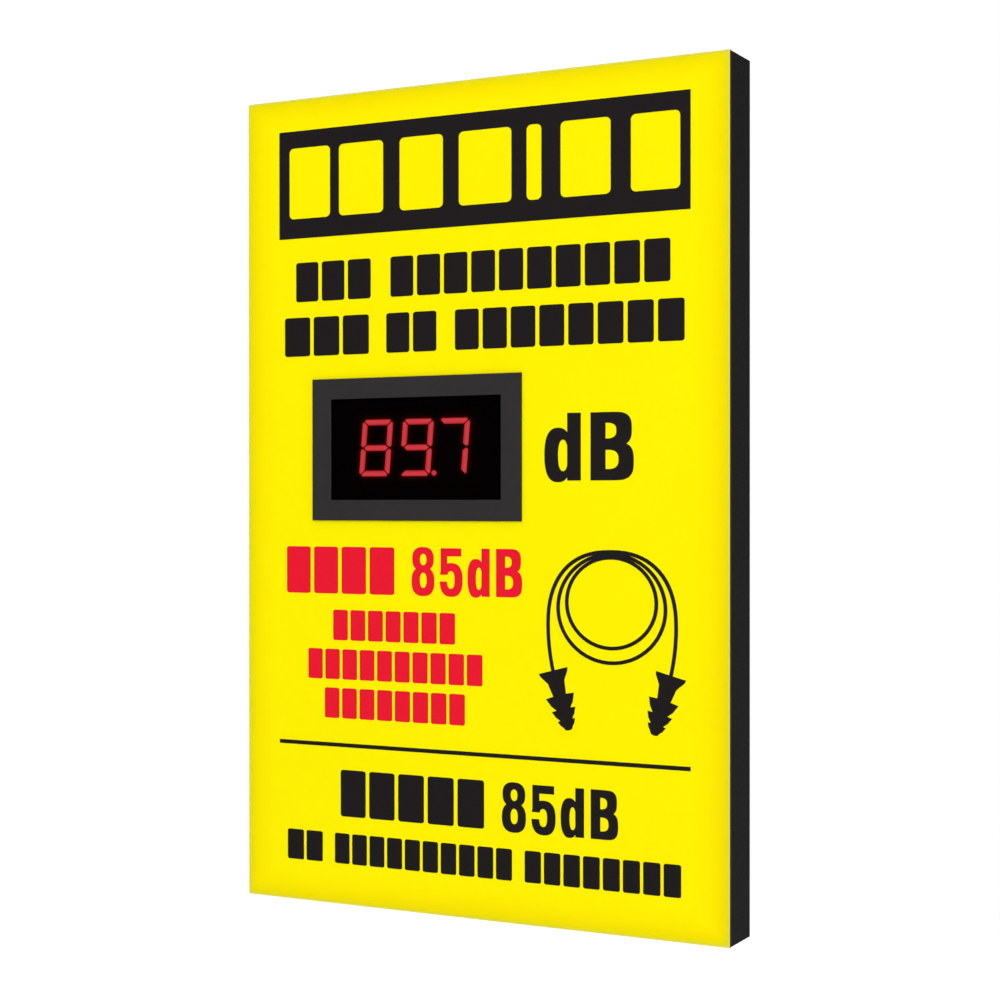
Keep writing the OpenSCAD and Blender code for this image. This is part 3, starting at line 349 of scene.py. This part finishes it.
def stroke_group():
    """Distance from P to the line A-B, as a fraction of the stroke's half width."""
    g = bpy.data.node_groups.new("stroke_distance", "ShaderNodeTree")
    for n in ("P", "A", "B"):
        g.interface.new_socket(n, in_out="INPUT", socket_type="NodeSocketVector")
    g.interface.new_socket("R", in_out="INPUT", socket_type="NodeSocketFloat")
    g.interface.new_socket("Out", in_out="OUTPUT", socket_type="NodeSocketFloat")
    gi, go = g.nodes.new("NodeGroupInput"), g.nodes.new("NodeGroupOutput")

    def vm(op, a, b=None, s=None):
        n = g.nodes.new("ShaderNodeVectorMath")
        n.operation = op
        g.links.new(a, n.inputs[0])
        if b is not None:
            g.links.new(b, n.inputs[1])
        if s is not None:
            g.links.new(s, n.inputs["Scale"])
        return n.outputs["Value"] if op in ("LENGTH", "DOT_PRODUCT") else n.outputs[0]

    def sm(op, a, b, clamp=False):
        n = g.nodes.new("ShaderNodeMath")
        n.operation, n.use_clamp = op, clamp
        for s, v in zip(n.inputs, (a, b)):
            if isinstance(v, bpy.types.NodeSocket):
                g.links.new(v, s)
            else:
                s.default_value = v
        return n.outputs[0]

    pa, ba = vm("SUBTRACT", gi.outputs["P"], gi.outputs["A"]), vm("SUBTRACT", gi.outputs["B"], gi.outputs["A"])
    t = sm("DIVIDE", vm("DOT_PRODUCT", pa, ba), sm("ADD", vm("DOT_PRODUCT", ba, ba), 1e-9), clamp=True)
    dist = vm("LENGTH", vm("SUBTRACT", pa, vm("SCALE", ba, s=t)))
    g.links.new(sm("DIVIDE", dist, gi.outputs["R"]), go.inputs["Out"])
    return g


STROKE = stroke_group()


def nearest_stroke(m):
    x, y, z = m.xyz()
    flat = m.add("ShaderNodeCombineXYZ")
    m.link(x, flat.inputs[0])
    m.link(z, flat.inputs[2])
    near = None
    for a, b, r in LIT:
        n = m.add("ShaderNodeGroup")
        n.node_tree = STROKE
        m.link(flat.outputs[0], n.inputs["P"])
        n.inputs["A"].default_value = a
        n.inputs["B"].default_value = b
        n.inputs["R"].default_value = r
        near = n.outputs[0] if near is None else m.math("MINIMUM", near, n.outputs[0])
    return near


def led_block():
    """Dead black face of the LED block, with the red light that bleeds round each lit segment."""
    m = Mat("led_block")
    out = m.math("MAXIMUM", m.math("SUBTRACT", nearest_stroke(m), 1.0), 0.0)
    halo = m.math("EXPONENT", m.math("MULTIPLY", out, -2.4))
    far = m.math("EXPONENT", m.math("MULTIPLY", out, -0.75))
    glow = m.math("ADD", m.math("MULTIPLY", halo, 0.055), m.math("MULTIPLY", far, 0.0012))
    m.principled(Base_Color=(0.0012, 0.0012, 0.0012, 1), Roughness=0.7, Specular_IOR_Level=0.04,
                 Emission_Color=(1.0, 0.01, 0.015, 1), Emission_Strength=glow,
                 Normal=m.bump(m.noise(2500, 3), 0.00003, 0.5))
    return m.m


def lit_lens():
    """A lit diffuser: brightest along its middle, a little dimmer and redder towards its rim."""
    m = Mat("lit_lens")
    d = m.math("MINIMUM", nearest_stroke(m), 1.2)
    core = m.math("SUBTRACT", 1.0, m.math("MULTIPLY", m.math("MULTIPLY", d, d), 0.38))
    n = m.remap(m.noise(420, 2), 0.3, 0.7, 0.95, 1.04)
    col = m.mix(m.math("MULTIPLY", d, d, clamp=True), (1.0, 0.26, 0.335, 1), (1.0, 0.145, 0.18, 1))
    m.principled(Base_Color=(0.3, 0.01, 0.015, 1), Roughness=0.45, Specular_IOR_Level=0.2,
                 Emission_Color=col, Emission_Strength=m.math("MULTIPLY", m.math("MULTIPLY", n, core), 0.65))
    return m.m


def foam(name, col):
    m = Mat(name)
    h = m.cells(2600, "SMOOTH_F1")
    m.principled(Base_Color=m.vmath("SCALE", col[:3], scale=m.remap(m.noise(500, 3), 0.3, 0.7, 0.85, 1.15)),
                 Roughness=0.85, Specular_IOR_Level=0.2, Normal=m.bump(h, 0.0001, 0.6))
    return m.m


def panel_black():
    """Sawn and flamed edge of the black face panel."""
    m = Mat("panel_black")
    h = m.noise(500, 4, 0.65, (1, 3, 1))
    v = m.remap(m.noise(70, 3), 0.3, 0.7, 0.88, 1.12)
    m.principled(Base_Color=m.vmath("SCALE", (0.0145, 0.013, 0.0125), scale=v), Roughness=m.remap(h, 0.3, 0.7, 0.55, 0.68),
                 Specular_IOR_Level=0.22, Normal=m.bump(h, 0.00004, 0.5))
    return m.m


def perforated(name, col):
    return metal(name, col, 0.42, None, 1800)


INK = lin(33, 29, 30)
MATS = {
    "face_overlay": yellow_film(),
    "header_print": ink("black_ink_header", INK),
    "black_print": ink("black_ink", INK),
    "red_print": ink("red_ink", lin(234, 24, 48)),
    "face_panel": panel_black(),
    "panel_tape": foam("foam_tape", (0.012, 0.012, 0.012)),
    "meter_bezel": moulded("bezel_plastic", lin(48, 44, 45), 2400, 0.00005, 0.58, 0.22, 0.1),
    "display_window": smoked_window(),
    "display_mask": moulded("mask_black", (0.0009, 0.0009, 0.0009), 2400, 0.00003, 0.8, 0.03, 0.0),
    "display_module": led_block(),
    "lit_segments": lit_lens(),
    "unlit_segments": moulded("unlit_lens", (0.0026, 0.0016, 0.0016), 1500, 0.00002, 0.6, 0.05, 0.0),
}
_coat = powder_coat("black_powder_coat", (0.0142, 0.0134, 0.0132), 1500, 0.00012, 0.66, 0.04)
for n in ("frame_top", "frame_bottom", "frame_left", "frame_right"):
    MATS[n] = _coat
MATS["back_panel"] = powder_coat("back_powder_coat", (0.021, 0.0205, 0.0205), 1000, 0.0003, 0.55, 0.32)
_zinc = metal("bright_zinc", (0.62, 0.63, 0.66), 0.28)
_black_steel = metal("black_steel", (0.16, 0.16, 0.17), 0.3)
_alu = metal("mill_aluminium", (0.76, 0.77, 0.79), 0.34, (1, 1, 0.05))
_tin = metal("tinned", (0.72, 0.71, 0.68), 0.3)
_brass = metal("turned_brass", (0.78, 0.56, 0.24), 0.26, (1, 1, 12))
_pcb = board("circuit_board")
_chip = moulded("chip_black", (0.008, 0.008, 0.009), 2600, 0.00003, 0.55, 0.3, 0.2)
_black = moulded("black_moulding", (0.011, 0.0108, 0.0108), 2200, 0.00004, 0.5, 0.32, 0.25)
_rub = moulded("black_rubber", (0.009, 0.009, 0.009), 1300, 0.00005, 0.78, 0.25, 0.1)
for k, v in {
    "corner_keys": _alu, "corner_key_screws": _black_steel, "back_panel_screws": _black_steel, "clinch_nuts": _zinc,
    "hanger_plates": _zinc, "hanger_rivets": _alu, "display_pins": _tin, "display_pcb": _pcb, "display_driver": _chip,
    "meter_back_cover": _black, "meter_clamps": _zinc, "meter_clamp_screws": _zinc, "main_pcb": _pcb,
    "board_standoffs": _zinc, "board_screws": _zinc, "microcontroller": _chip, "preamp_chips": _chip,
    "crystal": _tin, "filter_capacitors": moulded("capacitor_sleeve", (0.012, 0.02, 0.09), 300, 0.00002, 0.3, 0.5, 0.1),
    "voltage_regulator": _chip, "regulator_heatsink": metal("black_anodised", (0.05, 0.05, 0.055), 0.45),
    "chip_components": moulded("chip_ceramic", (0.42, 0.28, 0.16), 1800, 0.00002, 0.5, 0.4, 0.1),
    "cable_headers": _black, "ribbon_cable": moulded("ribbon_grey", (0.33, 0.34, 0.36), 700, 0.00003, 0.5, 0.35, 0.1),
    "ribbon_plugs": _black, "control_pcb": _pcb, "button_switches": _black,
    "trimmer_body": moulded("trimmer_blue", (0.012, 0.06, 0.36), 1500, 0.00002, 0.35, 0.5, 0.2),
    "trimmer_rotor": _brass,
    "up_button": moulded("button_grey", (0.085, 0.085, 0.09), 2200, 0.00003, 0.45, 0.4, 0.35),
    "down_button": moulded("button_grey_2", (0.085, 0.085, 0.09), 2200, 0.00003, 0.45, 0.4, 0.35),
    "power_switch_body": _black, "power_switch_pin": _tin,
    "power_rocker": moulded("rocker_gloss", (0.012, 0.0118, 0.0118), 500, 0.00001, 0.26, 0.5, 0.3),
    "switch_terminals": _brass, "dc_jack": _black, "dc_jack_nut": _tin, "dc_jack_contacts": _tin,
    "microphone_capsule": _alu, "microphone_boot": _rub, "microphone_mesh": perforated("mesh_steel", (0.3, 0.3, 0.31)),
    "power_wires": moulded("wire_red", (0.35, 0.01, 0.012), 900, 0.00001, 0.35, 0.45, 0.1),
    "signal_wires": moulded("wire_pale", (0.6, 0.6, 0.56), 900, 0.00001, 0.35, 0.45, 0.1),
}.items():
    MATS[k] = v
missing = sorted(set(N) - set(MATS))
assert not missing, missing
for n, o in N.items():
    if o.material_slots:
        for s in o.material_slots:
            s.material = MATS[n]
    else:
        o.data.materials.append(MATS[n])


# ---------------------------------------------------------------------------------------------
# Edges: the CAD edges are dead sharp; real ones are broken
# ---------------------------------------------------------------------------------------------
def soften(node, width, segments=2, angle=35, dissolve=True):
    o = N[node]
    w = o.modifiers.new("weld", "WELD")
    w.merge_threshold = 2e-6
    if dissolve:
        d = o.modifiers.new("flat", "DECIMATE")
        d.decimate_type = "DISSOLVE"
        d.angle_limit = math.radians(0.6)
    b = o.modifiers.new("edge", "BEVEL")
    b.width = width
    b.segments = segments
    b.limit_method = "ANGLE"
    b.angle_limit = math.radians(angle)
    b.harden_normals = False
    b.use_clamp_overlap = False  # the fine segments of round holes would otherwise cut every edge's width to nothing
    return o


for n in ("frame_top", "frame_bottom", "frame_left", "frame_right"):
    soften(n, 0.00035)
soften("face_panel", 0.0003, dissolve=False)
soften("meter_bezel", 0.0003, 3)
soften("back_panel", 0.00012)
soften("power_switch_body", 0.0003)
soften("power_rocker", 0.0004, 3)
for n in ("up_button", "down_button"):
    soften(n, 0.0003, 3)

# ---------------------------------------------------------------------------------------------
# Pad-printed marks on the moving controls: plain on and off signs, plus and minus
# ---------------------------------------------------------------------------------------------
def marks(name, outlines, body, place, mat, thick=0.00007):
    """Flat printed outlines with an edge of their own. Each outline is a list of loops in its own plane, in metres;
    place maps (u, v, w) to the row frame, with w along the surface's outward normal."""
    bm = bmesh.new()
    for outer, inner in outlines:
        n = len(outer)
        rings = []
        for w in (-thick, thick * 0.6, thick):
            inset = 0.00004 if w == thick else 0.0
            ring = []
            for loop, sign in ((outer, -1), (inner, 1)):
                c = Vector((sum(p[0] for p in outer) / n, sum(p[1] for p in outer) / n))
                pts = []
                for p in loop or []:
                    q = Vector(p)
                    d = (q - c).normalized()
                    q = q + d * inset * sign
                    pts.append(bm.verts.new(place(q.x, q.y, w)))
                ring.append(pts)
            rings.append(ring)
        for k in (0, 1):
            if not rings[0][k]:
                continue
            for a, b in zip(rings, rings[1:]):
                for i in range(n):
                    j = (i + 1) % n
                    bm.faces.new((a[k][i], a[k][j], b[k][j], b[k][i]))
        for ring in (rings[0], rings[-1]):
            if ring[1]:
                for i in range(n):
                    j = (i + 1) % n
                    bm.faces.new((ring[0][i], ring[0][j], ring[1][j], ring[1][i]))
            else:
                bm.faces.new(ring[0])
    bmesh.ops.recalc_face_normals(bm, faces=bm.faces)
    me = bpy.data.meshes.new(name)
    bm.to_mesh(me)
    bm.free()
    o = bpy.data.objects.new(name, me)
    scene.collection.objects.link(o)
    me.materials.append(mat)
    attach(o, body)
    return o


def pill(w, h, x=0.0, y=0.0, n=8):
    """A bar with round ends, as a loop of points."""
    r = min(w, h) / 2
    out = []
    for cx, cy, a0 in ((w / 2 - r, h / 2 - r, 0), (-w / 2 + r, h / 2 - r, 90), (-w / 2 + r, -h / 2 + r, 180), (w / 2 - r, -h / 2 + r, 270)):
        for i in range(n + 1):
            a = math.radians(a0 + 90 * i / n)
            q = (x + cx + r * math.cos(a), y + cy + r * math.sin(a))
            if not out or math.dist(q, out[-1]) > 1e-6:
                out.append(q)
    return out[:-1] if math.dist(out[0], out[-1]) < 1e-6 else out


def circle(r, n=48):
    return [(r * math.cos(2 * math.pi * i / n), r * math.sin(2 * math.pi * i / n)) for i in range(n)]


def cross(size, bar):
    """A plus sign's outline."""
    a, b = size / 2, bar / 2
    return [(a, -b), (a, b), (b, b), (b, a), (-b, a), (-b, b), (-a, b), (-a, -b), (-b, -b), (-b, -a), (b, -a), (b, -b)]


WHITE = moulded("white_pad_print", (0.62, 0.62, 0.6), 2500, 0.00001, 0.5, 0.3, 0.0)
joint = next(j for j in frame["record"]["behaviour"]["joints"] if j["name"] == "power_rocker_tilt")
pivot = Vector(joint["pos_m"])
tilt = math.radians(abs(joint["range_deg"][0]) / 2)


def rocker_face(side):
    """The rocker's outer face at rest on its -X (-1) or +X (1) half. The face is a plane 3.4 mm from the pivot at its
    middle; the -X half lies level and the +X half stands out at twice the tilt."""
    slope = tilt * 2 if side > 0 else 0.0
    u_dir = Vector((math.cos(slope), 0, -math.sin(slope)))
    w_dir = Vector((-math.sin(slope), 0, -math.cos(slope)))
    apex = pivot + Vector((math.sin(-tilt) * 0.0034, 0, -math.cos(tilt) * 0.0034))
    def place(u, v, w):
        return apex + u_dir * (side * 0.0048 + u) + Vector((0, v, 0)) + w_dir * w
    return place


def cap_face(node):
    lo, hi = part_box(node)
    mid = (lo + hi) / 2
    return lambda u, v, w: Vector((mid.x + u, mid.y + v, lo.z - w))


marks("rocker_on_mark", [(pill(0.0006, 0.0034), None)], "power_rocker", rocker_face(-1), WHITE)
marks("rocker_off_mark", [(circle(0.0017), circle(0.00115))], "power_rocker", rocker_face(1), WHITE)
marks("up_button_mark", [(cross(0.0028, 0.0006), None)], "up_button", cap_face("up_button"), WHITE)
marks("down_button_mark", [(pill(0.0028, 0.0006), None)], "down_button", cap_face("down_button"), WHITE)

# ---------------------------------------------------------------------------------------------
# Stage: floor, light, camera
# ---------------------------------------------------------------------------------------------
lo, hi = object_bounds()
FLOOR_Z = lo.z - 0.26
FLAG = Vector((-0.35, -0.93, -0.12)).normalized()  # a dark card in front, so the face and window carry no glare


def flag_ramp(t, direction):
    """0 towards the dark card, 1 well away from it, from a ray direction."""
    d = t.nodes.new("ShaderNodeVectorMath")
    d.operation = "DOT_PRODUCT"
    t.links.new(direction, d.inputs[0])
    d.inputs[1].default_value = FLAG
    r = t.nodes.new("ShaderNodeMapRange")
    r.interpolation_type = "SMOOTHSTEP"
    t.links.new(d.outputs["Value"], r.inputs[0])
    for i, v in zip((1, 2, 3, 4), (0.15, 0.75, 1.0, 0.0)):
        r.inputs[i].default_value = v
    return r.outputs[0]


bpy.ops.mesh.primitive_plane_add(size=60, location=(0, 0, FLOOR_Z))
floor = bpy.context.object
floor.name = "floor"
fm = Mat("pale_floor")
ft = fm.t
geo = fm.add("ShaderNodeNewGeometry")
lpath = fm.add("ShaderNodeLightPath")
paper = fm.remap(fm.noise(90, 4, 0.6), 0.3, 0.7, 0.985, 1.0)
diff = fm.add("ShaderNodeBsdfDiffuse")
fm.link(fm.vmath("SCALE", (0.9, 0.9, 0.9), scale=paper), diff.inputs["Color"])
lift = fm.add("ShaderNodeEmission")  # the sweep is lit so that it reads white to the camera
lift.inputs[1].default_value = 0.42
near = fm.add("ShaderNodeAddShader")
fm.link(diff.outputs[0], near.inputs[0])
fm.link(lift.outputs[0], near.inputs[1])
white = fm.add("ShaderNodeEmission")
fx, fy, fz = fm.xyz(geo.outputs["Position"])
dist = fm.math("SQRT", fm.math("ADD", fm.math("MULTIPLY", fx, fx), fm.math("MULTIPLY", fy, fy)))
away = fm.add("ShaderNodeMapRange", interpolation_type="SMOOTHSTEP")
fm.link(dist, away.inputs[0])
for i, v in zip((1, 2, 3, 4), (0.5, 1.7, 0.0, 1.0)):
    away.inputs[i].default_value = v
seen = fm.add("ShaderNodeMixShader")
fm.link(away.outputs[0], seen.inputs[0])
fm.link(near.outputs[0], seen.inputs[1])
fm.link(white.outputs[0], seen.inputs[2])
# in reflections the floor is dark where the card would hide it
ray = fm.vmath("SCALE", geo.outputs["Incoming"], scale=-1.0)
mirror = fm.add("ShaderNodeEmission")
fm.link(fm.math("MULTIPLY_ADD", flag_ramp(ft, ray), 0.55, 0.02), mirror.inputs[1])
m1 = fm.add("ShaderNodeMixShader")
fm.link(lpath.outputs["Is Glossy Ray"], m1.inputs[0])
fm.link(diff.outputs[0], m1.inputs[1])
fm.link(mirror.outputs[0], m1.inputs[2])
m2 = fm.add("ShaderNodeMixShader")
fm.link(lpath.outputs["Is Camera Ray"], m2.inputs[0])
fm.link(m1.outputs[0], m2.inputs[1])
fm.link(seen.outputs[0], m2.inputs[2])
# seen from underneath the floor is clear, so the lower edge can be looked at
clear = fm.add("ShaderNodeBsdfTransparent")
m3 = fm.add("ShaderNodeMixShader")
fm.link(geo.outputs["Backfacing"], m3.inputs[0])
fm.link(m2.outputs[0], m3.inputs[1])
fm.link(clear.outputs[0], m3.inputs[2])
fm.link(m3.outputs[0], fm.out.inputs[0])
floor.data.materials.append(fm.m)

world = bpy.data.worlds.new("studio")
scene.world = world
world.use_nodes = True
wt = world.node_tree
wt.nodes.clear()
wo = wt.nodes.new("ShaderNodeOutputWorld")


def sky(strength):
    n = wt.nodes.new("ShaderNodeBackground")
    n.inputs[0].default_value = (1, 1, 1, 1)
    if isinstance(strength, bpy.types.NodeSocket):
        wt.links.new(strength, n.inputs[1])
    else:
        n.inputs[1].default_value = strength
    return n.outputs[0]


wc = wt.nodes.new("ShaderNodeTexCoord")
gain = wt.nodes.new("ShaderNodeMath")
gain.operation = "MULTIPLY_ADD"
wt.links.new(flag_ramp(wt, wc.outputs["Generated"]), gain.inputs[0])
gain.inputs[1].default_value = 0.26
gain.inputs[2].default_value = 0.015
lp = wt.nodes.new("ShaderNodeLightPath")
w1 = wt.nodes.new("ShaderNodeMixShader")
w2 = wt.nodes.new("ShaderNodeMixShader")
wt.links.new(lp.outputs["Is Glossy Ray"], w1.inputs[0])
wt.links.new(sky(0.345), w1.inputs[1])
wt.links.new(sky(gain.outputs[0]), w1.inputs[2])
wt.links.new(lp.outputs["Is Camera Ray"], w2.inputs[0])
wt.links.new(w1.outputs[0], w2.inputs[1])
wt.links.new(sky(1.0), w2.inputs[2])
wt.links.new(w2.outputs[0], wo.inputs[0])


def softbox(name, place, size, power, target=(0, 0, 0)):
    d = bpy.data.lights.new(name, "AREA")
    d.shape = "RECTANGLE"
    d.size, d.size_y = size
    d.energy = power
    o = bpy.data.objects.new(name, d)
    scene.collection.objects.link(o)
    o.location = place
    o.rotation_euler = (Vector(place) - Vector(target)).to_track_quat("Z", "Y").to_euler()
    o.visible_camera = False
    return o


softbox("key", (2.0, -3.7, 1.6), (2.6, 2.6), 98)
softbox("top", (0.2, -1.2, 3.4), (3.0, 2.0), 33)
softbox("back", (-1.8, 3.2, 2.0), (2.4, 2.4), 80)
softbox("left", (-3.0, 1.6, 0.7), (1.2, 2.4), 45)

# Camera: placed by the perspective of the object's two sides. Lengths are in face heights, 0.508 m.
H = hi.z * 2
FACE_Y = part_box("face_overlay")[0].y
f_px, cx, cy = 2203.44, -33.01, 507.30
yaw, pitch, roll = -0.613253, 0.00423368, -0.00136849
t = Vector((0.603202, 2.62342, 0.00948935))
R1 = Matrix(((math.cos(yaw), -math.sin(yaw), 0), (math.sin(yaw), math.cos(yaw), 0), (0, 0, 1)))
R2 = Matrix(((1, 0, 0), (0, math.cos(pitch), -math.sin(pitch)), (0, math.sin(pitch), math.cos(pitch))))
R3 = Matrix(((math.cos(roll), 0, math.sin(roll)), (0, 1, 0), (-math.sin(roll), 0, math.cos(roll))))
R = R3 @ R2 @ R1
place = -(R.transposed() @ t) * H + Vector((0, FACE_Y, 0))
right, ahead, up = R.row[0], R.row[1], R.row[2]
cam_data = bpy.data.cameras.new("camera")
cam = bpy.data.objects.new("camera", cam_data)
scene.collection.objects.link(cam)
scene.camera = cam
cam.matrix_world = Matrix((
    (right.x, up.x, -ahead.x, place.x),
    (right.y, up.y, -ahead.y, place.y),
    (right.z, up.z, -ahead.z, place.z),
    (0, 0, 0, 1),
))
cam.rotation_mode = "XYZ"
cam_data.sensor_width = 36
cam_data.lens = f_px * 36 / 1000
cam_data.clip_start, cam_data.clip_end = 0.05, 50
# The picture is an off-axis crop, so the lens is shifted. The shift holds only for this camera
# position: other views aim the lens straight at the object and switch to a quaternion rotation,
# which counts as 0 where XYZ counts as 1.
for prop, value in (("shift_x", (500 - cx) / 1000), ("shift_y", (cy - 500) / 1000)):
    setattr(cam_data, prop, value)
    curve = cam_data.driver_add(prop)
    curve.driver.type = "SUM"
    v = curve.driver.variables.new()
    v.name = "mode"
    v.type = "SINGLE_PROP"
    v.targets[0].id_type = "OBJECT"
    v.targets[0].id = cam
    v.targets[0].data_path = "rotation_mode"
    line = curve.modifiers[0] if len(curve.modifiers) else curve.modifiers.new("GENERATOR")
    line.poly_order = 1
    line.coefficients = (0, value)

scene.view_settings.view_transform = "Standard"
scene.view_settings.look = "None"
scene.view_settings.exposure = 0
scene.view_settings.gamma = 1

bpy.context.view_layer.update()
